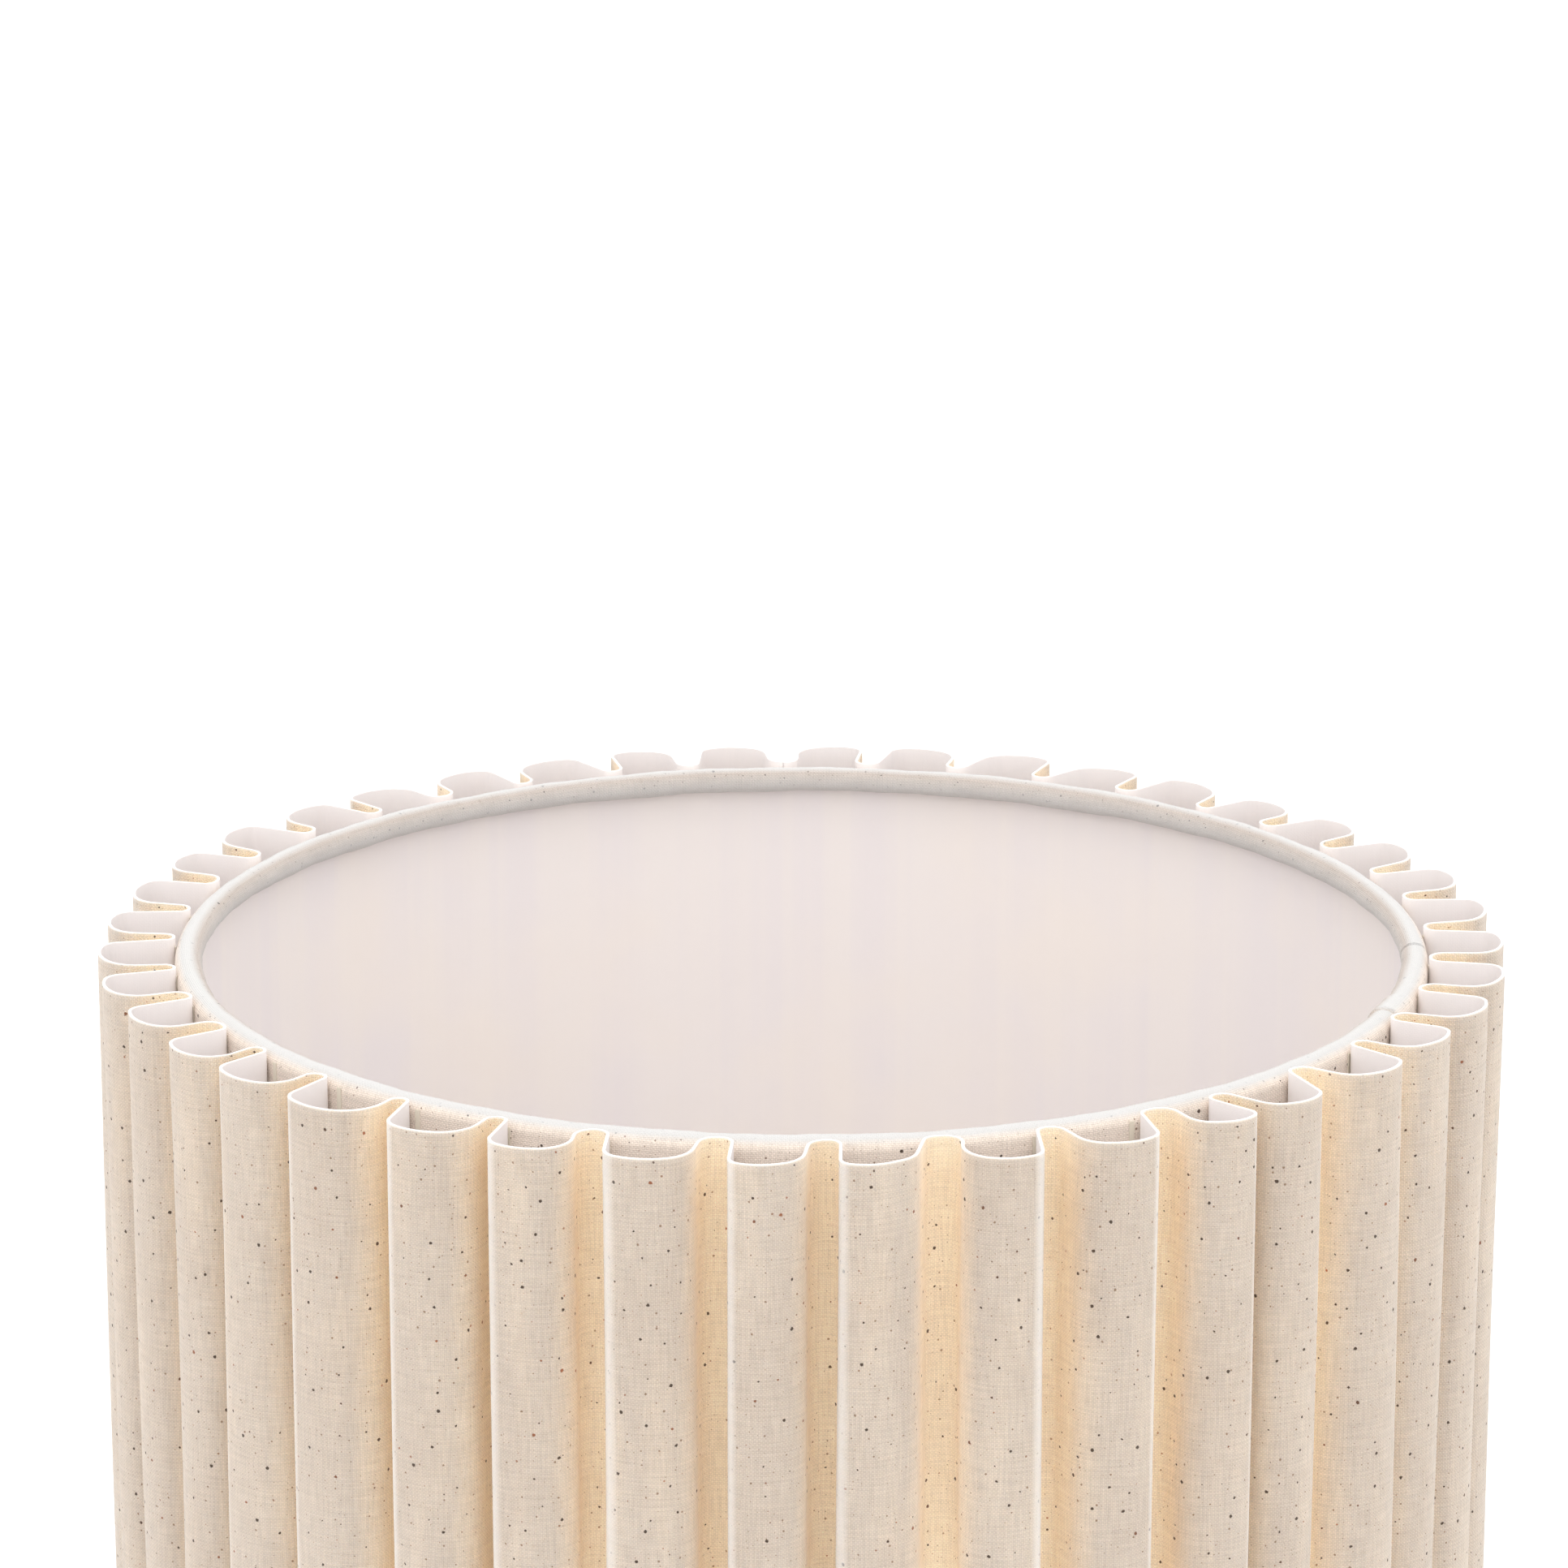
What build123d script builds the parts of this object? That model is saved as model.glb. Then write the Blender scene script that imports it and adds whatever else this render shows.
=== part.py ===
from build123d import *

import os
from math import cos, degrees, radians, sin, tan

# A pleated drum lamp shade, in millimetres.
#
# A stiff styrene drum faced with linen is rolled round two wire rings. A second strip of linen, backed with
# white film, is folded into deep round pleats and glued to the drum at every valley. Three arms carry a fitter
# ring inside the bottom ring, and a loose reducer ring lies in the fitter ring.
#
# The origin is the centre of the base. +Z is up, along the drum's axis, and -Y is the front.

# Overall sizes
overall_height = 200.0
drum_radius = 125.0  # to the outside of the drum's linen face

# Sheet thicknesses
linen = 0.35
styrene = 0.30
film = 0.25  # the white backing of the pleated linen
tape = 0.10  # in the drum's lap seam
glue = 0.15  # between each valley and the drum

# Pleats
pleat_count = 40
pleat_depth = 15.0  # from the drum's linen face to the outside of a crest
pleat_gap = 3.4  # between the walls of two neighbouring pleats, at the foot
wall_lean = 1.2  # how far each wall leans in by the crest
crest_slope = 12.0  # degrees that a crest falls away on each side of its middle
foot_fillet = 1.0
crest_corner = 4.5  # radius at each side of a crest
crest_round = 12.0  # radius over the middle of a crest
corner_share = 0.6  # of half a crest: the most that a corner's round takes
round_share = 0.35  # of half a crest: the most that the middle's round takes
strip_end_gap = 0.3  # where the two ends of the pleated strip meet, in a valley
strip_end_valley = 20.5  # in pitches from the front pleat, counted towards +X
glue_setback = 2.0  # from each end of a valley
glue_margin = 0.2  # from each foot fillet

# Rings and hems
wire_diameter = 4.0
wire_clearance = 0.05  # between a ring and the styrene
hem_inset = 0.3  # the pleats' cut edges stand out past both hems
hem_sweep = 285.0  # degrees that a hem wraps round its ring

# Lap seam of the drum
lap_width = 10.0
lap_step = 0.6  # where the lap steps down to the drum beyond its tape
lap_pocket = 8  # in pitches from the front pleat, counted towards +X

# Fitter, arms and reducer
arm_count = 3
arm_diameter = 3.0
arm_first_angle = 30.0
arm_bend = 8.0
notch_clearance = 0.4  # round each arm, where the bottom hem is snipped
fitter_bore = 42.0
fitter_width = 6.0  # of the flat of the fitter ring
fitter_sheet = 1.2
fitter_skirt = 4.0
fitter_height = 20.0  # underside of the flat of the fitter ring
fitter_edge = 0.3
reducer_bore = 29.0
reducer_seat = 3.5  # how far the reducer's flange laps onto the fitter ring
reducer_flange = 1.2
reducer_spigot = 2.5
reducer_clearance = 0.2
reducer_edge = 0.3

# Sizes that follow from those
pitch = 360.0 / pleat_count
front = -90.0
crest_radius = drum_radius + pleat_depth
valley_radius = drum_radius + glue + film + linen
valley_back = drum_radius + glue
valley_flat = pleat_gap - 2 * foot_fillet
strip_end_angle = front + strip_end_valley * pitch
hem_inner = wire_diameter / 2 + styrene + wire_clearance
hem_outer = hem_inner + linen
ring_radius = drum_radius - hem_outer
bottom_ring_height = hem_inset + hem_outer
top_ring_height = overall_height - hem_inset - hem_outer
ring_to_ring = top_ring_height - bottom_ring_height
lap_span = degrees(lap_width / drum_radius)
step_span = degrees(lap_step / drum_radius)
lap_start = front + lap_pocket * pitch - lap_span / 2
lap_inner = drum_radius + tape
skirt_radius = fitter_bore / 2 + fitter_width
arm_height = fitter_height + fitter_sheet - fitter_skirt / 2
knee_radius = ring_radius - (arm_height - bottom_ring_height)
arm_angles = [arm_first_angle + arm * 360 / arm_count for arm in range(arm_count)]
flange_height = fitter_height + fitter_sheet
spigot_radius = fitter_bore / 2 - reducer_clearance
flange_radius = fitter_bore / 2 + reducer_seat


def polar(radius, angle, across=0.0):
    """The point at that radius and angle, moved sideways by across."""
    a = radians(angle)
    return (radius * cos(a) - across * sin(a), radius * sin(a) + across * cos(a))


def pleat_outline():
    """Corner points and fillet radii of the closed line round the outside of the pleats."""
    half_pitch = radians(pitch / 2)
    slope = radians(crest_slope)
    foot = valley_radius * sin(half_pitch) - pleat_gap / 2 * cos(half_pitch)
    foot_reach = valley_radius * cos(half_pitch) + pleat_gap / 2 * sin(half_pitch)
    corner = foot - wall_lean
    half_crest = corner / cos(slope)
    corner_turn = radians(90) - slope
    middle_round = min(crest_round, round_share * half_crest / tan(slope))
    corner_round = min(crest_corner, corner_share * half_crest / tan(corner_turn / 2))
    peak_reach = crest_radius + middle_round * (1 / cos(slope) - 1)
    corner_reach = peak_reach - corner * tan(slope)
    points, radii = [], []
    for pleat in range(pleat_count):
        angle = front + pleat * pitch
        points += [
            polar(foot_reach, angle, -foot),
            polar(corner_reach, angle, -corner),
            polar(peak_reach, angle),
            polar(corner_reach, angle, corner),
            polar(foot_reach, angle, foot),
        ]
        radii += [foot_fillet, corner_round, middle_round, corner_round, foot_fillet]
    return points, radii


def ring_sector(outer, inner, start, span):
    """The part of a flat ring from the start angle on, over that many degrees."""
    with BuildSketch() as sector:
        with BuildLine():
            CenterArc((0, 0), outer, start, span)
            CenterArc((0, 0), inner, start, span)
            Line(polar(inner, start), polar(outer, start))
            Line(polar(inner, start + span), polar(outer, start + span))
        make_face()
    return sector.sketch


def hem_section(height, sweep_angle):
    """The linen's cross-section round a ring, from the drum's face on, over that many degrees."""
    centre = (ring_radius, height)
    end = radians(sweep_angle)
    with BuildSketch(Plane.XZ) as section:
        with BuildLine():
            CenterArc(centre, hem_outer, 0, sweep_angle)
            CenterArc(centre, hem_inner, 0, sweep_angle)
            Line((ring_radius + hem_inner, height), (ring_radius + hem_outer, height))
            Line(
                (ring_radius + hem_inner * cos(end), height + hem_inner * sin(end)),
                (ring_radius + hem_outer * cos(end), height + hem_outer * sin(end)),
            )
        make_face()
    return section.sketch


def arm_bar(diameter, angle):
    """A round bar along an arm's path, from the middle of the bottom ring to the fitter ring's skirt."""
    radial = Plane(origin=(0, 0, 0), x_dir=(*polar(1, angle), 0), z_dir=(*polar(1, angle - 90), 0))
    with BuildPart() as bar:
        with BuildLine(radial) as path:
            FilletPolyline(
                (ring_radius, bottom_ring_height),
                (knee_radius, arm_height),
                (skirt_radius - fitter_sheet / 2, arm_height),
                radius=arm_bend,
            )
        with BuildSketch(Plane(origin=path.line @ 0, z_dir=path.line % 0)):
            Circle(diameter / 2)
        sweep()
    return bar.part


os.makedirs("parts", exist_ok=True)

# The area inside the pleats' outer line, and the same inside the linen and inside the film behind it
outline_points, outline_radii = pleat_outline()
with BuildSketch() as pleat_area:
    with BuildLine():
        FilletPolyline(*outline_points, radius=outline_radii, close=True)
    make_face()
inside_linen = offset(pleat_area.sketch, amount=-linen)
inside_film = offset(pleat_area.sketch, amount=-linen - film)
strip_end = Location((*polar(valley_radius, strip_end_angle), 0), (0, 0, strip_end_angle))

# Pleated linen, cut where the strip's two ends meet
with BuildPart() as pleated_cover:
    with BuildSketch():
        add(pleat_area.sketch)
        add(inside_linen, mode=Mode.SUBTRACT)
    extrude(amount=overall_height)
    with Locations(strip_end):
        Box(
            4 * (film + linen),
            strip_end_gap,
            overall_height,
            align=(Align.CENTER, Align.CENTER, Align.MIN),
            mode=Mode.SUBTRACT,
        )
pleated_cover.part.label = "pleated_cover"
export_step(pleated_cover.part, "parts/pleated_cover.step")

# White film on the back of the pleated linen
with BuildPart() as pleat_backing:
    with BuildSketch():
        add(inside_linen)
        add(inside_film, mode=Mode.SUBTRACT)
    extrude(amount=overall_height)
    with Locations(strip_end):
        Box(
            4 * (film + linen),
            strip_end_gap,
            overall_height,
            align=(Align.CENTER, Align.CENTER, Align.MIN),
            mode=Mode.SUBTRACT,
        )
pleat_backing.part.label = "pleat_backing"
export_step(pleat_backing.part, "parts/pleat_backing.step")

# Glue between the drum and the flat of each valley
with BuildPart() as valley_glue:
    with BuildSketch(Plane.XY.offset(glue_setback)):
        with PolarLocations(valley_back, pleat_count, start_angle=front + pitch / 2):
            Rectangle(2 * glue, valley_flat - 2 * glue_margin, align=(Align.MAX, Align.CENTER))
        Circle(drum_radius, mode=Mode.SUBTRACT)
    extrude(amount=overall_height - 2 * glue_setback)
valley_glue.part.label = "valley_glue"
export_step(valley_glue.part, "parts/valley_glue.step")

# Styrene lining that keeps the drum round, from ring to ring
with BuildPart() as drum_liner:
    with BuildSketch(Plane.XY.offset(bottom_ring_height)):
        Circle(drum_radius - linen)
        Circle(drum_radius - linen - styrene, mode=Mode.SUBTRACT)
    extrude(amount=ring_to_ring)
drum_liner.part.label = "drum_liner"
export_step(drum_liner.part, "parts/drum_liner.step")

# Linen face of the drum, with its rolled hems, its lap seam and a snip for each arm
bottom_hem = hem_section(bottom_ring_height, -hem_sweep)
top_hem = hem_section(top_ring_height, hem_sweep)
lap_band = ring_sector(lap_inner + linen, lap_inner, lap_start, lap_span + step_span)
lap_end = ring_sector(lap_inner + linen, drum_radius - linen / 2, lap_start + lap_span, step_span)
snips = [arm_bar(arm_diameter + 2 * notch_clearance, angle) for angle in arm_angles]
with BuildPart() as drum_linen:
    with BuildSketch(Plane.XY.offset(bottom_ring_height)):
        Circle(drum_radius)
        Circle(drum_radius - linen, mode=Mode.SUBTRACT)
    extrude(amount=ring_to_ring)
    revolve(bottom_hem, axis=Axis.Z)
    revolve(top_hem, axis=Axis.Z)
    with BuildSketch(Plane.XY.offset(bottom_ring_height)):
        add(lap_band)
        add(lap_end)
    extrude(amount=ring_to_ring)
    add(snips, mode=Mode.SUBTRACT)
drum_linen.part.label = "drum_linen"
export_step(drum_linen.part, "parts/drum_linen.step")

# Double-sided tape inside the lap seam
tape_band = ring_sector(lap_inner, drum_radius, lap_start, lap_span)
with BuildPart() as seam_tape:
    with BuildSketch(Plane.XY.offset(bottom_ring_height)):
        add(tape_band)
    extrude(amount=ring_to_ring)
seam_tape.part.label = "seam_tape"
export_step(seam_tape.part, "parts/seam_tape.step")

# Wire rings inside the two hems
with BuildPart() as top_ring:
    with BuildSketch(Plane.XZ):
        with Locations((ring_radius, top_ring_height)):
            Circle(wire_diameter / 2)
    revolve(axis=Axis.Z)
top_ring.part.label = "top_ring"
export_step(top_ring.part, "parts/top_ring.step")

with BuildPart() as bottom_ring:
    with BuildSketch(Plane.XZ):
        with Locations((ring_radius, bottom_ring_height)):
            Circle(wire_diameter / 2)
    revolve(axis=Axis.Z)
bottom_ring.part.label = "bottom_ring"
export_step(bottom_ring.part, "parts/bottom_ring.step")

# Pressed steel fitter ring: a flat that sits on the lampholder, with a skirt turned down at its rim
with BuildPart() as fitter_ring:
    with BuildSketch(Plane.XY.offset(fitter_height)):
        Circle(skirt_radius)
        Circle(fitter_bore / 2, mode=Mode.SUBTRACT)
    extrude(amount=fitter_sheet)
    with BuildSketch(Plane.XY.offset(flange_height - fitter_skirt)):
        Circle(skirt_radius)
        Circle(skirt_radius - fitter_sheet, mode=Mode.SUBTRACT)
    extrude(amount=fitter_skirt)
    rims = fitter_ring.edges().filter_by(GeomType.CIRCLE).group_by(SortBy.RADIUS)[-1]
    fillet(rims, fitter_edge)
fitter_ring.part.label = "fitter_ring"
export_step(fitter_ring.part, "parts/fitter_ring.step")

# Arms, cut to butt against the bottom ring and the fitter ring's skirt
for number, angle in enumerate(arm_angles, start=1):
    bar = arm_bar(arm_diameter, angle)
    with BuildPart() as arm:
        add(bar)
        add(bottom_ring.part, mode=Mode.SUBTRACT)
        Cylinder(
            skirt_radius,
            flange_height + fitter_skirt,
            align=(Align.CENTER, Align.CENTER, Align.MIN),
            mode=Mode.SUBTRACT,
        )
    arm.part.label = f"arm_{number}"
    export_step(arm.part, f"parts/arm_{number}.step")

# Loose plastic ring that narrows the fitter's hole: a flange with a spigot below it
with BuildPart() as reducer_ring:
    with BuildSketch(Plane.XY.offset(flange_height)):
        Circle(flange_radius)
    extrude(amount=reducer_flange)
    with BuildSketch(Plane.XY.offset(flange_height - reducer_spigot)):
        Circle(spigot_radius)
    extrude(amount=reducer_spigot)
    chamfer(reducer_ring.edges().group_by(Axis.Z)[-1], reducer_edge)
    chamfer(reducer_ring.edges().group_by(Axis.Z)[0], reducer_edge)
    with Locations((0, 0, flange_height)):
        Hole(reducer_bore / 2)
reducer_ring.part.label = "reducer_ring"
export_step(reducer_ring.part, "parts/reducer_ring.step")
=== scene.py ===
"""A pleated linen drum lamp shade: the looks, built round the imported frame.

Lengths in this file are in millimetres, and become metres where they reach Blender.
"""

from math import cos, pi, radians, sin, sqrt

import bpy
import numpy as np
from mathutils import Euler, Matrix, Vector


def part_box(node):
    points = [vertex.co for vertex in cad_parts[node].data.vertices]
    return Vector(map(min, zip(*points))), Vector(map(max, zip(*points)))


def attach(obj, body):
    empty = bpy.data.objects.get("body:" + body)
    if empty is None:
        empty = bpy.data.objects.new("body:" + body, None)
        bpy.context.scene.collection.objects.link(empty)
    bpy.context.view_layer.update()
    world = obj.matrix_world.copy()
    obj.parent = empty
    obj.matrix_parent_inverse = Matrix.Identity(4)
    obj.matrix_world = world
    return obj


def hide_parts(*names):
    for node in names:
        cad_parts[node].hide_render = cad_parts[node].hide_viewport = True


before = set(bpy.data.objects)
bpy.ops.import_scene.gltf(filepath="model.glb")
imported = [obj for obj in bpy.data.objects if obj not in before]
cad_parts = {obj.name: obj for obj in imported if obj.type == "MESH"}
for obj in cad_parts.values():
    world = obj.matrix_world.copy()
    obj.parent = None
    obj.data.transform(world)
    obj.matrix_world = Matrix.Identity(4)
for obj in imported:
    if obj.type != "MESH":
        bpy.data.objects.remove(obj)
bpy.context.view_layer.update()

MM = 0.001
rng = np.random.default_rng(20586)

# ---------------------------------------------------------------- thicknesses, and sizes taken from the frame
LINEN = 0.35
FILM = 0.25
GLUE = 0.15
STYRENE = 0.30
TAPE = 0.10
WIRE = 4.0
WIRE_CLEARANCE = 0.05
PLEATS = 40
FRONT = -90.0  # the direction of the front pleat, in degrees


def node_box(name):
    """A CAD node's lowest and highest corners, in millimetres."""
    low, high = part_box(name)
    return np.array(low) / MM, np.array(high) / MM


cover_low, cover_high = node_box("pleated_cover")
face_low, face_high = node_box("drum_linen")
crest_radius = (cover_high[0] - cover_low[0]) / 2
drum_radius = (face_high[1] - face_low[1]) / 2
valley_radius = drum_radius + GLUE + FILM + LINEN
cover_base, cover_top = cover_low[2], cover_high[2]
hem_inner = WIRE / 2 + STYRENE + WIRE_CLEARANCE
hem_outer = hem_inner + LINEN
ring_radius = drum_radius - hem_outer
top_ring_height = face_high[2] - hem_outer
bottom_ring_height = face_low[2] + hem_outer
pitch = 360.0 / PLEATS


# ---------------------------------------------------------------- mesh helpers
SHARP_ANGLE = 50.0  # degrees between two faces from which their edge is drawn sharp


def smooth_random(count, amplitude, waves=3):
    """One slow random curve per item: a function of height from 0 to 1, shape (count,)."""
    sizes = rng.normal(0, amplitude / sqrt(waves), (count, waves))
    turns = rng.uniform(0.35, 1.6, (count, waves))
    phases = rng.uniform(0, 2 * pi, (count, waves))

    def curve(level):
        return (sizes * np.cos(2 * pi * turns * level + phases)).sum(1)

    return curve


def polar(radius, angle, across=0.0):
    """Plan points at those radii and angles in degrees, moved sideways by across."""
    a = np.radians(angle)
    return np.stack([radius * np.cos(a) - across * np.sin(a), radius * np.sin(a) + across * np.cos(a)], -1)


def grid_faces(rows, columns, closed=False, flip=False):
    """Quads over a grid of points stored row by row."""
    r, c = np.meshgrid(np.arange(rows - 1), np.arange(columns if closed else columns - 1), indexing="ij")
    c_next = (c + 1) % columns
    low, high = r * columns, (r + 1) * columns
    quads = np.stack([low + c, low + c_next, high + c_next, high + c], -1).reshape(-1, 4)
    return quads[:, ::-1] if flip else quads


def sheet_mesh(name, outer, inner, closed, fields):
    """A closed thin mesh from two matching grids of points, shaped (rows, columns, 3), in millimetres.

    fields holds per-point values, shaped like the grid, that the materials read.
    """
    rows, columns = outer.shape[:2]
    count = rows * columns
    points = np.concatenate([outer.reshape(-1, 3), inner.reshape(-1, 3)]) * MM
    faces = [grid_faces(rows, columns, closed), grid_faces(rows, columns, closed, flip=True) + count]
    last = (rows - 1) * columns
    here = np.arange(columns if closed else columns - 1)
    after = (here + 1) % columns
    faces.append(np.stack([here, here + count, after + count, after], -1))
    faces.append(np.stack([last + here, last + after, last + after + count, last + here + count], -1))
    if not closed:
        low = np.arange(rows - 1) * columns
        high = low + columns
        faces.append(np.stack([low, high, high + count, low + count], -1))
        low, high = low + columns - 1, high + columns - 1
        faces.append(np.stack([low, low + count, high + count, high], -1))
    faces = np.concatenate(faces)
    mesh = bpy.data.meshes.new(name)
    mesh.vertices.add(len(points))
    mesh.vertices.foreach_set("co", points.astype(np.float32).ravel())
    mesh.loops.add(faces.size)
    mesh.loops.foreach_set("vertex_index", faces.astype(np.int32).ravel())
    mesh.polygons.add(len(faces))
    mesh.polygons.foreach_set("loop_start", np.arange(0, faces.size, 4, dtype=np.int32))
    mesh.polygons.foreach_set("use_smooth", np.ones(len(faces), dtype=bool))
    for key, values in fields.items():
        vector = values.ndim == 3
        layer = mesh.attributes.new(key, "FLOAT_VECTOR" if vector else "FLOAT", "POINT")
        flat = values.reshape(count, -1)
        both = np.concatenate([flat, flat]).astype(np.float32)
        layer.data.foreach_set("vector" if vector else "value", both.ravel())
    mesh.update(calc_edges=True)
    mesh.validate()
    mesh.set_sharp_from_angle(angle=radians(SHARP_ANGLE))
    return mesh


def add_piece(name, mesh, material, body="root"):
    """A new visible piece that rides on a CAD body."""
    piece = bpy.data.objects.new(name, mesh)
    bpy.context.scene.collection.objects.link(piece)
    mesh.materials.clear()
    mesh.materials.append(material)
    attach(piece, body)
    return piece


# ---------------------------------------------------------------- material helpers
class Tree:
    """A short way to write a material's nodes."""

    def __init__(self, name):
        self.material = bpy.data.materials.new(name)
        self.material.use_nodes = True
        self.nodes = self.material.node_tree.nodes
        self.links = self.material.node_tree.links
        self.shader = self.nodes["Principled BSDF"]

    def set(self, socket, value):
        if isinstance(value, bpy.types.NodeSocket):
            self.links.new(value, socket)
        else:
            socket.default_value = value

    def node(self, kind, inputs=(), **settings):
        made = self.nodes.new(kind)
        for key, value in settings.items():
            setattr(made, key, value)
        for key, value in dict(inputs).items():
            self.set(made.inputs[key], value)
        return made

    def math(self, operation, a, b=0.0, clamp=False):
        made = self.node("ShaderNodeMath", {0: a, 1: b}, operation=operation, use_clamp=clamp)
        return made.outputs[0]

    def mix(self, factor, a, b, blend="MIX"):
        made = self.node("ShaderNodeMix", {0: factor, 6: a, 7: b}, data_type="RGBA", blend_type=blend)
        return made.outputs[2]

    def field(self, name):
        return self.node("ShaderNodeAttribute", attribute_name=name)

    def remap(self, value, low, high, to_low=0.0, to_high=1.0):
        made = self.node("ShaderNodeMapRange", {0: value, 1: low, 2: high, 3: to_low, 4: to_high})
        return made.outputs[0]

    def scaled(self, vector, sizes):
        made = self.node("ShaderNodeVectorMath", {0: vector, 1: sizes}, operation="MULTIPLY")
        return made.outputs[0]

    def noise(self, vector, scale, detail=2.0, roughness=0.5):
        made = self.node(
            "ShaderNodeTexNoise", {"Vector": vector, "Scale": scale, "Detail": detail, "Roughness": roughness}
        )
        return made.outputs[0]

    def finish(self, color, roughness, bump=None, depth=0.1, strength=1.0, **constants):
        """Joins up the shader. depth is the bumps' full height."""
        self.set(self.shader.inputs["Base Color"], color)
        self.set(self.shader.inputs["Roughness"], roughness)
        if bump is not None:
            made = self.node("ShaderNodeBump", {"Strength": strength, "Distance": depth * MM, "Height": bump})
            self.set(self.shader.inputs["Normal"], made.outputs[0])
        for key, value in constants.items():
            self.shader.inputs[key.replace("_", " ")].default_value = value
        return self.material


THREAD = 0.37  # between the middles of two threads of the linen
WEAVE_DEPTH = 0.12
NAP = {"Sheen_Weight": 0.1, "Sheen_Roughness": 0.5}  # the linen's faint fuzz
CLOTH_LIGHT = {  # how the pleats' linen lets light through and scatters it
    **NAP,
    "Subsurface_Weight": 0.6,
    "Subsurface_Radius": (0.85, 0.65, 0.48),
    "Subsurface_Scale": 1.2 * MM,
}
FILM_LIGHT = {  # the same for the film on their backs
    "Subsurface_Weight": 0.15,
    "Subsurface_Radius": (1.0, 0.9, 0.85),
    "Subsurface_Scale": 0.8 * MM,
}
BROWN = (0.19, 0.11, 0.058, 1)
DARK_BROWN = (0.050, 0.030, 0.018, 1)
RED_BROWN = (0.26, 0.09, 0.04, 1)
TAN = (0.42, 0.31, 0.22, 1)
FLECKS = (  # size of the cells with one fleck at most, its size, share of cells, seed, strength, colour
    (1.6, 0.105, 0.50, 11.0, 0.60, BROWN),
    (3.2, 0.18, 0.50, 27.0, 0.80, BROWN),
    (5.6, 0.27, 0.70, 3.0, 0.97, DARK_BROWN),
)


def weave(t, cloth):
    """Height of a plain weave, and how thick its threads are. cloth is the place on the flat cloth."""
    wander = t.noise(t.scaled(cloth, (0.35, 0.35, 1.0)), 1.0, 2.0)
    wander = t.math("MULTIPLY", t.math("SUBTRACT", wander, 0.5), 0.5)
    split = t.node("ShaderNodeSeparateXYZ", {0: cloth})
    along = t.math("MULTIPLY", t.math("ADD", split.outputs[0], wander), pi / THREAD)
    up = t.math("MULTIPLY", t.math("ADD", split.outputs[1], wander), pi / THREAD)
    wave_along = t.math("SINE", along)
    wave_up = t.math("SINE", up)
    over = t.math("MULTIPLY", wave_along, wave_up)
    rounds = t.math("ADD", t.math("ABSOLUTE", wave_along), t.math("ABSOLUTE", wave_up))
    height = t.math("ADD", t.math("MULTIPLY", rounds, 0.5), t.math("MULTIPLY", over, 0.35))
    warp = t.noise(t.scaled(cloth, (2.1, 0.15, 1.0)), 1.0, 3.0)
    weft = t.noise(t.scaled(cloth, (0.15, 2.3, 1.0)), 1.0, 3.0)
    threads = t.math("ADD", t.math("SUBTRACT", warp, 0.5), t.math("SUBTRACT", weft, 0.5))
    return height, threads


def specks(t, cloth, cell, size, share, seed):
    """A mask of small ragged flecks, at most one in each cell, in the given share of the cells."""
    ragged = t.node("ShaderNodeTexNoise", {"Vector": cloth, "Scale": 2.6, "Detail": 2.0}).outputs[1]
    offset = t.node("ShaderNodeVectorMath", {0: ragged, 1: (0.5, 0.5, 0.5)}, operation="SUBTRACT").outputs[0]
    offset = t.scaled(offset, (1.5 * size, 1.5 * size, 0.0))
    moved = t.node("ShaderNodeVectorMath", {0: cloth, 1: offset}, operation="ADD").outputs[0]
    moved = t.node("ShaderNodeVectorMath", {0: moved, 1: (seed, seed * 1.7, 0.0)}, operation="ADD").outputs[0]
    cells = t.node(
        "ShaderNodeTexVoronoi",
        {"Vector": moved, "Scale": 1.0 / cell, "Randomness": 1.0},
        voronoi_dimensions="2D",
    )
    pick = t.node("ShaderNodeSeparateColor", {0: cells.outputs["Color"]})
    radius = t.math("MULTIPLY", t.math("ADD", pick.outputs[1], 0.5), size / cell)
    shown = t.math("LESS_THAN", pick.outputs[0], share)
    depth = t.math("DIVIDE", cells.outputs["Distance"], radius)
    mask = t.remap(depth, 1.0, 0.7)
    return t.math("MULTIPLY", mask, shown), pick.outputs[2]


def linen_color(t, cloth, base_a, base_b, threads, height):
    """The linen's mottled colour with tan smudges, and brown and a few red-brown flecks."""
    mottle = t.noise(t.scaled(cloth, (0.05, 0.022, 1.0)), 1.0, 4.0, 0.6)
    color = t.mix(t.remap(mottle, 0.35, 0.65), base_a, base_b)
    # The threads' own uneven colour, and painted shade in the low places of the weave between the threads.
    thread_tone_and_weave_shade = t.math("ADD", t.math("MULTIPLY", threads, 0.36), 1.0)
    thread_tone_and_weave_shade = t.math("MULTIPLY", thread_tone_and_weave_shade, t.remap(height, 0.15, 1.1, 0.84, 1.08))
    grey = t.node("ShaderNodeCombineColor", {0: thread_tone_and_weave_shade, 1: thread_tone_and_weave_shade, 2: thread_tone_and_weave_shade})
    color = t.mix(1.0, color, grey.outputs[0], "MULTIPLY")
    smudge = t.noise(t.scaled(cloth, (0.55, 0.40, 1.0)), 1.0, 3.0, 0.55)
    color = t.mix(t.remap(smudge, 0.66, 0.80, 0.0, 0.45), color, TAN)
    for cell, size, share, seed, strength, fleck in FLECKS:
        mask, pick = specks(t, cloth, cell, size, share, seed)
        tint = t.mix(t.remap(pick, 0.82, 0.98), fleck, RED_BROWN)
        color = t.mix(t.math("MULTIPLY", mask, strength), color, tint)
    return color


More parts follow.
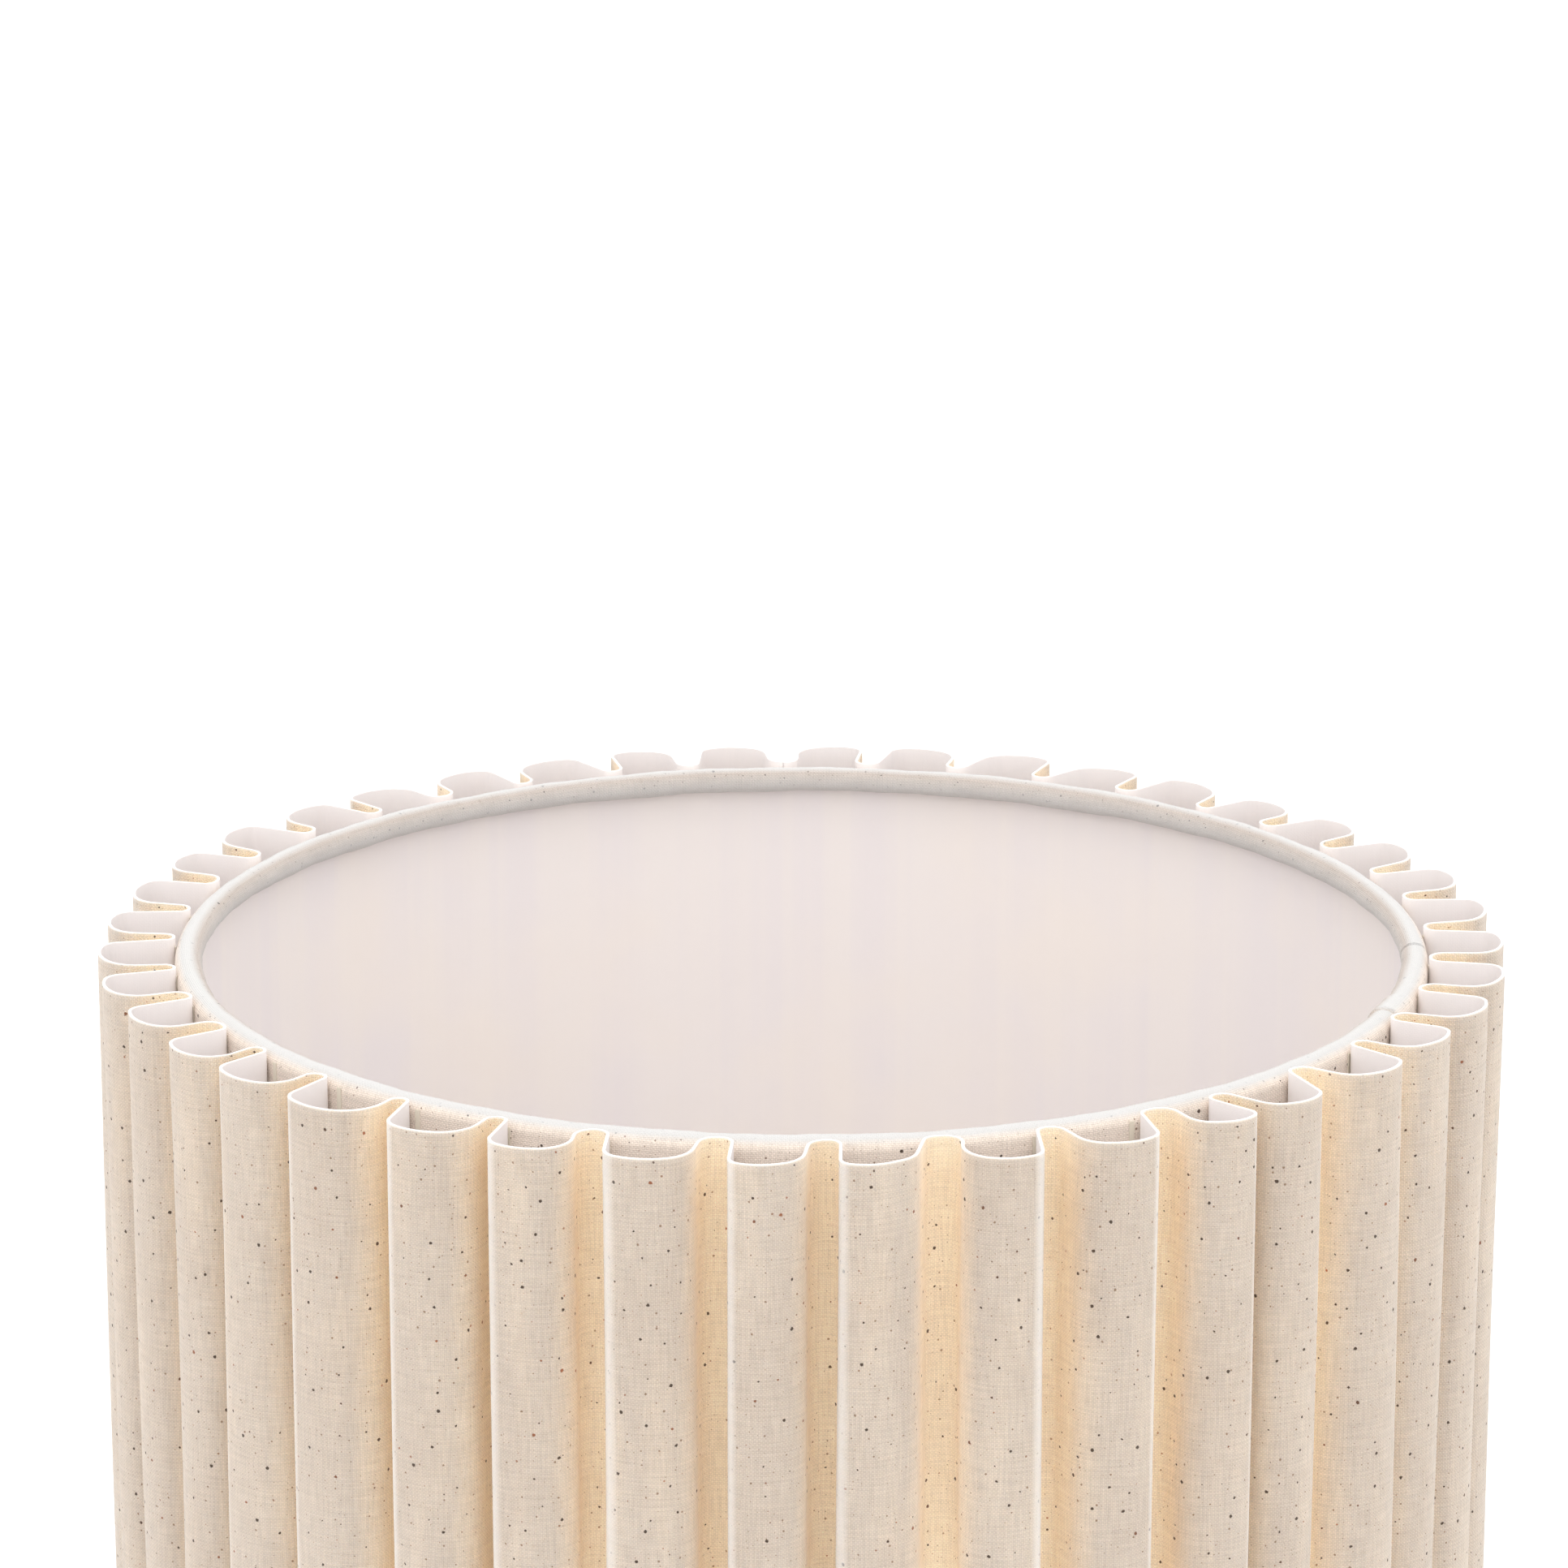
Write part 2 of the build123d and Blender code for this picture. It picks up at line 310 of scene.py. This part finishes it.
def pleated_linen_material():
    """Natural linen over the pleats, paler along the cut edges. Painted light: warmer and brighter down in
    the valleys, for light coming through the thin sheets; painted highlight: paler along the tight folds.
    """
    t = Tree("pleated_linen")
    cloth = t.field("cloth").outputs["Vector"]
    height, threads = weave(t, cloth)
    color = linen_color(t, cloth, (0.558, 0.474, 0.400, 1), (0.530, 0.444, 0.370, 1), threads, height)
    # Painted light: down in the valleys the colour is multiplied brighter and warmer, for light coming
    # through the thin sheets and filling the valleys.
    reach = t.field("reach").outputs["Fac"]
    valley_light_patchiness = t.noise(t.scaled(cloth, (0.10, 0.018, 1.0)), 1.0, 3.0)
    painted_valley_light = t.math("ADD", t.remap(reach, 0.82, 0.32), t.remap(valley_light_patchiness, 0.3, 0.7, -0.14, 0.14), clamp=True)
    color = t.mix(painted_valley_light, color, t.mix(1.0, color, (1.80, 1.69, 1.50, 1), "MULTIPLY"))
    edge = t.field("edge").outputs["Fac"]
    color = t.mix(t.math("MULTIPLY", edge, 0.9), color, (0.78, 0.725, 0.675, 1))
    # Painted highlight: a paler colour along the tight folds, where the sharp bend catches the light.
    fold = t.field("fold").outputs["Fac"]
    color = t.mix(t.math("MULTIPLY", fold, 0.55), color, (0.80, 0.755, 0.72, 1))
    return t.finish(color, 0.92, height, WEAVE_DEPTH, 0.7, **CLOTH_LIGHT)


def film_material():
    """The white film on the back of the pleats, with the weave printed faintly through."""
    t = Tree("backing_film")
    cloth = t.field("cloth").outputs["Vector"]
    height, _ = weave(t, cloth)
    clouds = t.noise(t.scaled(cloth, (0.06, 0.03, 1.0)), 1.0, 3.0)
    color = t.mix(t.remap(clouds, 0.3, 0.7), (0.925, 0.865, 0.850, 1), (0.935, 0.885, 0.870, 1))
    creases = t.noise(t.scaled(cloth, (0.9, 0.03, 1.0)), 1.0, 3.0)
    bump = t.math("ADD", t.math("MULTIPLY", height, 0.3), creases)
    return t.finish(color, 0.5, bump, 0.08, 0.5, **FILM_LIGHT)


def drum_linen_material():
    """The drum's own linen, whiter over the rings. Painted light: much paler than the pleats' linen, down in
    the open pleats; painted shade where it turns inwards under the rings.
    """
    t = Tree("drum_linen")
    cloth = t.field("cloth").outputs["Vector"]
    height, threads = weave(t, cloth)
    # Painted light: these base colours are much paler than the pleats' linen, for the light that reaches down
    # into the open pleats.
    color = linen_color(t, cloth, (0.85, 0.745, 0.655, 1), (0.82, 0.715, 0.62, 1), threads, height)
    rolled = t.field("rolled").outputs["Fac"]
    # Painted shade on the inward side of each roll under the rings.
    roll_shade_color = t.mix(1.0, color, (0.630, 0.625, 0.640, 1), "MULTIPLY")
    color = t.mix(t.math("MULTIPLY", rolled, 0.90), color, (0.590, 0.588, 0.583, 1))
    color = t.mix(t.field("inner_roll_shade").outputs["Fac"], color, roll_shade_color)
    # Painted shadow in the slit beside the lap's edge.
    seam = t.field("seam").outputs["Fac"]
    color = t.mix(t.math("MULTIPLY", seam, 0.5), color, (0.55, 0.45, 0.36, 1))
    return t.finish(color, 0.92, height, WEAVE_DEPTH, 0.7, **NAP)


def liner_material():
    """White styrene lining: faint upright stripes of painted shadow where the pleats behind show through, and
    warm patches.
    """
    t = Tree("styrene_lining")
    place = t.node("ShaderNodeTexCoord").outputs["Object"]
    split = t.node("ShaderNodeSeparateXYZ", {0: place})
    angle = t.math("ARCTAN2", split.outputs[1], split.outputs[0])
    across, away = t.math("COSINE", angle), t.math("SINE", angle)
    round_place = t.node("ShaderNodeCombineXYZ", {0: across, 1: away})
    # Painted shadow: faint upright stripes at the pleats' spacing, for the pleats showing through the lining.
    pleat_shadow_wave = t.math("COSINE", t.math("MULTIPLY", angle, float(PLEATS)))
    pleat_shadow_bands = t.math("ADD", t.noise(round_place.outputs[0], 9.0, 3.0, 0.6), t.math("MULTIPLY", pleat_shadow_wave, 0.05))
    tall_place = t.node("ShaderNodeCombineXYZ", {0: across, 1: away, 2: split.outputs[2]})
    patches = t.noise(t.scaled(tall_place.outputs[0], (1.0, 1.0, 7.0)), 2.3, 3.0, 0.5)
    color = t.mix(t.remap(pleat_shadow_bands, 0.42, 0.58), (0.838, 0.786, 0.783, 1), (0.860, 0.806, 0.782, 1))
    color = t.mix(t.remap(patches, 0.50, 0.66, 0.0, 0.7), color, (0.885, 0.815, 0.755, 1))
    ripple = t.noise(round_place.outputs[0], 30.0, 2.0)
    return t.finish(color, 0.42, ripple, 0.4, 0.25)


def coated_material(name, color, roughness, grain):
    """White powder coat over steel, or moulded plastic, with a fine skin."""
    t = Tree(name)
    place = t.node("ShaderNodeTexCoord").outputs["Object"]
    skin = t.noise(place, grain, 3.0)
    dust = t.noise(place, 55.0, 4.0, 0.6)
    darker = tuple(c * 0.93 for c in color[:3]) + (1,)
    shade = t.mix(t.remap(dust, 0.45, 0.75), color, darker)
    return t.finish(shade, t.remap(dust, 0.3, 0.7, roughness - 0.06, roughness + 0.08), skin, 0.1, 0.35)


def plain_material(name, color, roughness):
    """A thin inner layer that hardly shows, with slight cloudiness."""
    t = Tree(name)
    place = t.node("ShaderNodeTexCoord").outputs["Object"]
    clouds = t.noise(place, 120.0, 3.0)
    darker = tuple(c * 0.9 for c in color[:3]) + (1,)
    return t.finish(t.mix(clouds, color, darker), roughness, clouds, 0.1, 0.2)


# ---------------------------------------------------------------- pleats
ARC_STEPS = {"foot": 7, "corner": 9, "middle": 5}
LINE_STEPS = 2
FILLET_SHARE = 0.97  # the most of a straight run that its two fillets use up
STRIP_GAP = 0.15  # from the middle of the back valley to each end of the strip
LAYER_GAP = 0.01  # between the linen and the film
SIDE_SWELL = 0.9  # how much further out the pleats at the two sides reach
TIGHT_DROP, LOOSE_DROP = 1.9, 3.3  # how far a pleat's two corners lie inside its crest
PEAK_RISE, PEAK_SHIFT = 0.35, 1.2  # the crest's highest place, upwards and towards the loose corner
PEAK_ROUND = 14.0
TIGHT_ROUND = 5.6  # a corner with a smaller radius than this gets a painted highlight along its fold
EDGE_POWER = 8  # keeps the waves of the two cut edges close to them


def fold_levels():
    """Heights of the rows of points up the pleats, from 0 to 1, close together at the cut edges."""
    near = np.array([0.0, 0.35, 1.2, 4.0]) / (cover_top - cover_base)
    inside = np.linspace(near[-1], 1 - near[-1], 19)[1:-1]
    return np.concatenate([near, inside, 1 - near[::-1]])


# The pleats that show in front were folded by hand, and each came out differently. Pleats and valleys are
# counted from the front one, to the right. Lengths run to the right along the drum, from where an even
# spacing would put each pleat's middle or each valley's.
FRONT_CRESTS = {  # left corner, right corner
    -5: (-10.8, 6.1),
    -4: (-11.6, 7.1),
    -3: (-8.3, 8.0),
    -2: (-8.8, 7.3),
    -1: (-7.8, 8.0),
    0: (-6.8, 6.9),
    1: (-8.5, 5.6),
    2: (-7.8, 7.3),
    3: (-5.2, 9.0),
    4: (-3.8, 9.8),
    5: (-7.6, 4.4),
    6: (-7.0, 7.9),
    7: (-7.2, 8.2),
}
FRONT_VALLEYS = {  # the valley after that pleat: its middle, its width between the walls
    -6: (-3.6, 3.2),
    -5: (-4.4, 3.4),
    -4: (-3.1, 2.6),
    -3: (-1.5, 3.0),
    -2: (-2.6, 5.4),
    -1: (0.7, 5.1),
    0: (0.4, 5.0),
    1: (2.2, 6.3),
    2: (2.2, 3.7),
    3: (4.4, 5.5),
    4: (-1.3, 3.8),
    5: (0.4, 3.4),
    6: (1.2, 3.2),
}
LAST_LEFT_FOLD = 1  # up to this pleat the tight fold is on the left, and after it on the right


def pleat_shapes():
    """Each pleat's own uneven sizes, and how they drift with height."""
    count = np.arange(PLEATS)
    number = np.where(count > PLEATS // 2, count - PLEATS, count)
    left = rng.normal(-7.4, 0.5, PLEATS)
    right = rng.normal(7.4, 0.5, PLEATS)
    middle = rng.normal(0, 0.8, PLEATS)
    width = rng.normal(4.0, 0.8, PLEATS).clip(2.8, 5.6)
    tight_left = np.where(abs(number) > 14, rng.random(PLEATS) < 0.5, number <= LAST_LEFT_FOLD)
    for k in range(PLEATS):
        if number[k] in FRONT_CRESTS:
            left[k], right[k] = FRONT_CRESTS[number[k]]
        if number[k] in FRONT_VALLEYS:
            middle[k], width[k] = FRONT_VALLEYS[number[k]]
    tight = rng.uniform(4.2, 5.2, PLEATS)
    loose = rng.uniform(6.5, 9.0, PLEATS)
    steep = rng.uniform(1.8, 2.4, PLEATS)
    gentle = rng.uniform(2.4, 3.2, PLEATS)
    at_side = (abs(number) > 7) & (abs(number) < 14)
    base = {
        "left": left,
        "right": right,
        "middle": middle,
        "width": width,
        "deep": rng.normal(-0.2, 0.2, PLEATS).clip(-0.7, 0.3) + np.where(at_side, SIDE_SWELL, 0),
        "left_drop": np.where(tight_left, TIGHT_DROP, LOOSE_DROP) + rng.normal(0, 0.25, PLEATS),
        "right_drop": np.where(tight_left, LOOSE_DROP, TIGHT_DROP) + rng.normal(0, 0.25, PLEATS),
    }
    amounts = {
        "left": 0.30,
        "right": 0.30,
        "middle": 0.16,
        "width": 0.22,
        "deep": 0.18,
        "left_drop": 0.15,
        "right_drop": 0.15,
    }
    drift = {key: smooth_random(PLEATS, amount) for key, amount in amounts.items()}
    rounds = {
        "foot_left": np.where(tight_left, steep, gentle),
        "foot_right": np.where(tight_left, gentle, steep),
        "corner_left": np.where(tight_left, tight, loose),
        "corner_right": np.where(tight_left, loose, tight),
        "peak": np.where(tight_left, -PEAK_SHIFT, PEAK_SHIFT),
    }
    return base, drift, rounds


def pleat_corners(level, base, drift, rounds):
    """Corner points and fillet radii of the open line round the pleats at one height."""
    now = {key: base[key] + drift[key](level) - drift[key](1.0) for key in base}
    first = PLEATS // 2 + 1  # the strip starts in a valley at the back
    start_angle = FRONT + (first - 0.5) * pitch
    points, radii, kinds = [polar(valley_radius, start_angle, STRIP_GAP)], [], []
    for place in range(PLEATS):
        pleat, before = (first + place) % PLEATS, (first + place - 1) % PLEATS
        angle = FRONT + (first + place) * pitch
        left_middle = now["middle"][before] if place else 0.0
        right_middle = now["middle"][pleat] if place < PLEATS - 1 else 0.0
        reach = crest_radius + now["deep"][pleat]
        peak = (now["left"][pleat] + now["right"][pleat]) / 2 + rounds["peak"][pleat]
        points += [
            polar(valley_radius, angle - pitch / 2, left_middle + now["width"][before] / 2),
            polar(reach - now["left_drop"][pleat], angle, now["left"][pleat]),
            polar(reach + PEAK_RISE, angle, peak),
            polar(reach - now["right_drop"][pleat], angle, now["right"][pleat]),
            polar(valley_radius, angle + pitch / 2, right_middle - now["width"][pleat] / 2),
        ]
        radii += [
            rounds["foot_left"][pleat],
            rounds["corner_left"][pleat],
            PEAK_ROUND,
            rounds["corner_right"][pleat],
            rounds["foot_right"][pleat],
        ]
        kinds += ["foot", "corner", "middle", "corner", "foot"]
    points.append(polar(valley_radius, start_angle + 360.0, -STRIP_GAP))
    return np.array(points), np.array(radii), kinds


def rounded_line(points, radii, kinds):
    """Points along an open line with filleted corners, the way each faces outwards, and how strongly each
    tight fold gets its painted highlight.
    """
    moves = np.diff(points, axis=0)
    runs = np.linalg.norm(moves, axis=1)
    ways = moves / runs[:, None]
    d_in, d_out = ways[:-1], ways[1:]
    turn = np.arctan2(d_in[:, 0] * d_out[:, 1] - d_in[:, 1] * d_out[:, 0], (d_in * d_out).sum(1))
    cut = radii * np.tan(np.abs(turn) / 2)
    room = runs[1:-1] / (cut[:-1] + cut[1:])
    share = np.minimum(np.append(room, 1.0), np.insert(room, 0, 1.0)) * FILLET_SHARE
    share = np.minimum(share, 1.0)
    radii = radii * share
    cut = cut * share
    line, normals, folds = [], [], []
    end = points[0]
    for k, kind in enumerate(kinds):
        side = np.sign(turn[k])
        left = np.array([-d_in[k][1], d_in[k][0]])
        begin = points[k + 1] - d_in[k] * cut[k]
        centre = begin + left * side * radii[k]
        for step in range(LINE_STEPS):
            line.append(end + (begin - end) * step / LINE_STEPS)
            normals.append(-left)
            folds.append(0.0)
        steps = ARC_STEPS[kind]
        highlit_fold = kind == "corner" and radii[k] < TIGHT_ROUND
        for step in range(steps):
            a = turn[k] * step / steps
            arm = begin - centre
            arm = np.array([arm[0] * cos(a) - arm[1] * sin(a), arm[0] * sin(a) + arm[1] * cos(a)])
            line.append(centre + arm)
            normals.append(arm / radii[k] * side)
            folds.append(sin(pi * step / steps) if highlit_fold else 0.0)
        end = points[k + 1] + d_out[k] * cut[k]
    last_left = np.array([-d_out[-1][1], d_out[-1][0]])
    for step in range(LINE_STEPS + 1):
        line.append(end + (points[-1] - end) * step / LINE_STEPS)
        normals.append(-last_left)
        folds.append(0.0)
    return np.array(line), np.array(normals), np.array(folds)


def pleat_layers():
    """The pleated strip as grids of points: its outer face, and what it needs for its layers."""
    base, drift, rounds = pleat_shapes()
    levels = fold_levels()
    rows = [rounded_line(*pleat_corners(level, base, drift, rounds)) for level in levels]
    line = np.array([row[0] for row in rows])
    normal = np.array([row[1] for row in rows])
    fold = np.array([row[2] for row in rows])
    steps = np.linalg.norm(np.diff(line.mean(0), axis=0), axis=1)
    along = np.concatenate([[0.0], np.cumsum(steps)])
    top_edge = 0.18 * np.cos(along / 41.0) + 0.12 * np.cos(along / 13.7 + 1.0)
    low_edge = 0.12 * np.cos(along / 37.0 + 2.0) + 0.12
    height = cover_base + levels[:, None] * (cover_top - cover_base)
    height = height + (levels[:, None] ** EDGE_POWER) * (top_edge - 0.05)[None, :]
    height = height + ((1 - levels[:, None]) ** EDGE_POWER) * low_edge[None, :]
    return line, normal, fold, along, height


def make_pleats():
    """The pleated linen and the film behind it."""
    line, normal, fold, along, height = pleat_layers()
    rows, columns = line.shape[:2]
    spread = np.broadcast_to(along[None, :], (rows, columns))
    cloth = np.stack([spread, height, np.zeros_like(height)], -1)
    radius = np.linalg.norm(line, axis=-1)
    reach = (radius - valley_radius) / (crest_radius - valley_radius)
    edge = np.zeros((rows, columns))
    edge[0] = edge[-1] = 1.0
    edge[1] = edge[-2] = 0.15
    fields = {"cloth": cloth, "reach": reach, "edge": edge, "fold": fold}

    def layer(depth):
        plan = line - normal * depth
        return np.concatenate([plan, height[..., None]], -1)

    linen = add_piece(
        "pleated_linen",
        sheet_mesh("pleated_linen", layer(0.0), layer(LINEN), False, fields),
        pleated_linen_material(),
    )
    film = add_piece(
        "backing_film",
        sheet_mesh("backing_film", layer(LINEN + LAYER_GAP), layer(LINEN + FILM), False, fields),
        film_material(),
    )
    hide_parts("pleated_cover")
    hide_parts("pleat_backing")


# ---------------------------------------------------------------- drum linen with its rolled hems
HEM_SWEEP = 285.0  # degrees that the linen goes round each ring
LAP_POCKET = 8  # the lap seam is in the middle of this pleat
LAP_WIDTH = 10.0
LAP_LEAN = 3.2  # how far the lap's edge runs slantwise over half a turn of the roll
LAP_EDGE, LAP_TAIL = 0.10, 0.25  # how softly the lap begins and ends
GROOVE_DEPTH, GROOVE_OFFSET, GROOVE_WIDTH = 0.28, 0.25, 0.22  # the slit beside the lap's edge
TUCK_START, TUCK_LENGTH, TUCK_DEPTH = 200, 85, 0.25  # degrees round the roll, and how far its end dips


def hem_section(height, way):
    """Ring middles, outward ways, shares and angles of points round one hem, from the face inwards."""
    angles = np.radians(np.linspace(0, HEM_SWEEP, 40))
    reach = np.stack([np.cos(angles), way * np.sin(angles)], -1)
    middle = np.tile([ring_radius, height], (len(angles), 1))
    rolled = np.interp(np.degrees(angles), (30, 60), (0, 1))
    # Painted shade on the inward side of the roll; it fades further round, where light thrown back from the
    # lining is painted in.
    inner_roll_shade = np.interp(np.degrees(angles), (98, 132, 160, 195), (0, 1, 0.6, 0.15))
    return middle, reach, rolled, inner_roll_shade, angles


def make_drum_face():
    """The drum's linen: a straight face, a roll over each ring, and the lap seam."""
    top_mid, top_way, top_rolled, top_roll_shade, top_angle = hem_section(top_ring_height, 1)
    low_mid, low_way, low_rolled, low_roll_shade, low_angle = hem_section(bottom_ring_height, -1)
    face_heights = np.linspace(bottom_ring_height, top_ring_height, 26)[1:-1]
    face_mid = np.stack([np.full_like(face_heights, ring_radius), face_heights], -1)
    middle = np.concatenate([low_mid[::-1], face_mid, top_mid])
    way = np.concatenate([low_way[::-1], np.tile([1.0, 0.0], (len(face_heights), 1)), top_way])
    rolled = np.concatenate([low_rolled[::-1], np.zeros(len(face_heights)), top_rolled])
    inner_roll_shade = np.concatenate([low_roll_shade[::-1], np.zeros(len(face_heights)), top_roll_shade])
    hem_turn = np.concatenate([low_angle[::-1], np.zeros(len(face_heights)), top_angle])
    profile = middle + way * hem_outer
    along = np.concatenate([[0.0], np.cumsum(np.linalg.norm(np.diff(profile, axis=0), axis=1))])

    seam_angle = FRONT + LAP_POCKET * pitch
    around = np.arange(0, 360, 0.75)
    near_seam = np.arange(-6.0, 6.0, 0.08) + seam_angle % 360
    around = np.unique(np.round(np.concatenate([around, near_seam]), 4))
    around = around[around < 360]
    lean = -LAP_LEAN * (hem_turn / pi)[:, None]
    from_seam = (around - seam_angle % 360)[None, :] * radians(1) * drum_radius - lean
    half_lap = LAP_WIDTH / 2
    begun = 1 / (1 + np.exp(-(from_seam + half_lap) / LAP_EDGE))
    not_ended = 1 / (1 + np.exp((from_seam - half_lap) / LAP_TAIL))
    groove = np.exp(-(((from_seam + half_lap + GROOVE_OFFSET) / GROOVE_WIDTH) ** 2)) * rolled[:, None]
    lap = (TAPE + LINEN) * (begun * not_ended) - GROOVE_DEPTH * groove

    a = np.radians(around)[None, :]
    turn = hem_turn[:, None]
    lumps = 0.07 * np.cos(23 * a + 1.3 * turn) + 0.05 * np.cos(61 * a - 2.1 * turn + 1.0)
    lumps = lumps + 0.06 * np.cos(9 * a + 2.0) + 0.03 * np.cos(149 * a + 3.0 * turn)
    puff = lumps * rolled[:, None] + lap
    tuck = np.clip((turn - radians(TUCK_START)) / radians(TUCK_LENGTH), 0, 1)
    puff = puff - TUCK_DEPTH * tuck * (1 + 0.5 * np.cos(31 * a + 0.5))
    pressed = np.ones(len(middle))  # flatter underneath, so that it clears the table
    pressed[: len(low_angle)] = np.interp(low_angle[::-1], (0, 1), (1, 0.35))
    puff = puff * pressed[:, None]

    def surface(inset):
        reach = hem_outer - inset + puff
        radius = middle[:, :1] + way[:, :1] * reach
        height = middle[:, 1:] + way[:, 1:] * reach
        return np.stack([radius * np.cos(a), radius * np.sin(a), height], -1)

    rows, columns = len(middle), len(around)
    cloth_x = np.broadcast_to(np.radians(around) * drum_radius, (rows, columns))
    cloth_y = np.broadcast_to(along[:, None], (rows, columns))
    fields = {
        "cloth": np.stack([cloth_x, cloth_y, np.full((rows, columns), 40.0)], -1),
        "rolled": np.broadcast_to(rolled[:, None], (rows, columns)),
        "inner_roll_shade": np.broadcast_to(inner_roll_shade[:, None], (rows, columns)),
        "seam": groove,
    }
    outer, inner = surface(0.0), surface(LINEN)
    piece = add_piece("drum_face", sheet_mesh("drum_face", outer, inner, True, fields), drum_linen_material())
    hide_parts("drum_linen")


# ---------------------------------------------------------------- CAD nodes that stay
def dress(node, material):
    """Gives a CAD node its finish."""
    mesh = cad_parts[node].data
    mesh.materials.clear()
    mesh.materials.append(material)


def dress_frame():
    """Finishes for the wires, the fitter, the reducer, the lining, the glue and the tape."""
    wire = coated_material("white_powder_coat", (0.80, 0.80, 0.78, 1), 0.45, 900.0)
    plastic = coated_material("moulded_white", (0.84, 0.84, 0.82, 1), 0.32, 420.0)
    for node in ("top_ring", "bottom_ring", "arm_1", "arm_2", "arm_3", "fitter_ring"):
        dress(node, wire)
    dress("reducer_ring", plastic)
    dress("drum_liner", liner_material())
    dress("valley_glue", plain_material("clear_glue", (0.80, 0.74, 0.62, 1), 0.35))
    dress("seam_tape", plain_material("seam_tape", (0.85, 0.84, 0.80, 1), 0.5))


# ---------------------------------------------------------------- camera, light and floor
CAMERA_DISTANCE = 1150.0  # from the middle of the rim
CAMERA_RISE = 17.35  # degrees above the rim's plane
CAMERA_TURN = 2.7  # degrees round to the right of the front
CAMERA_LENS = 131.7
AIM_ABOVE = 1.485  # degrees that the camera points above the middle of the rim
AIM_LEFT = 0.18  # degrees that it points to the left of the drum's axis
SUN_SPREAD = 70.0  # degrees
SKY_STRENGTH = 1.22
FLOOR_WIDTH = 16000.0


def make_camera():
    """A long lens a little above the rim, nearly from the front."""
    rise, turn = radians(CAMERA_RISE), radians(CAMERA_TURN)
    away = Vector((sin(turn) * cos(rise), -cos(turn) * cos(rise), sin(rise)))
    data = bpy.data.cameras.new("camera")
    data.lens = CAMERA_LENS
    data.sensor_width = 36.0
    data.clip_start = 50.0 * MM
    camera = bpy.data.objects.new("camera", data)
    camera.location = Vector((0, 0, face_high[2] * MM)) + away * CAMERA_DISTANCE * MM
    tilt = radians(90 - CAMERA_RISE + AIM_ABOVE)
    camera.rotation_euler = Euler((tilt, 0, radians(CAMERA_TURN + AIM_LEFT)))
    bpy.context.scene.collection.objects.link(camera)
    bpy.context.scene.camera = camera


def soft_sun(name, from_place, strength, color):
    """A very wide, soft light from far off."""
    data = bpy.data.lights.new(name, "SUN")
    data.angle = radians(SUN_SPREAD)
    data.energy = strength
    data.color = color
    light = bpy.data.objects.new(name, data)
    light.rotation_euler = Vector(from_place).to_track_quat("Z", "Y").to_euler()
    bpy.context.scene.collection.objects.link(light)


def make_studio():
    """White surroundings, two soft suns and a white floor."""
    world = bpy.data.worlds.new("studio")
    bpy.context.scene.world = world
    world.use_nodes = True
    background = world.node_tree.nodes["Background"]
    background.inputs[0].default_value = (1.0, 1.0, 1.0, 1)
    background.inputs[1].default_value = SKY_STRENGTH
    soft_sun("key", (-0.1, -1.2, 1.5), 0.60, (1.0, 0.99, 0.98))
    soft_sun("top", (0.1, 0.2, 2.0), 0.70, (1.0, 1.0, 1.0))
    t = Tree("studio_floor")
    place = t.node("ShaderNodeTexCoord").outputs["Object"]
    paper = t.noise(place, 60.0, 3.0)
    t.finish(t.mix(paper, (0.93, 0.93, 0.93, 1), (0.95, 0.95, 0.95, 1)), 0.9)
    bpy.ops.mesh.primitive_plane_add(size=FLOOR_WIDTH * MM, location=(0, 0, 0))
    floor = bpy.context.object
    floor.name = "studio_floor"
    floor.data.materials.append(t.material)
    view = bpy.context.scene.view_settings
    view.view_transform = "Standard"
    view.look = "None"


make_camera()
make_studio()
make_pleats()
make_drum_face()
dress_frame()
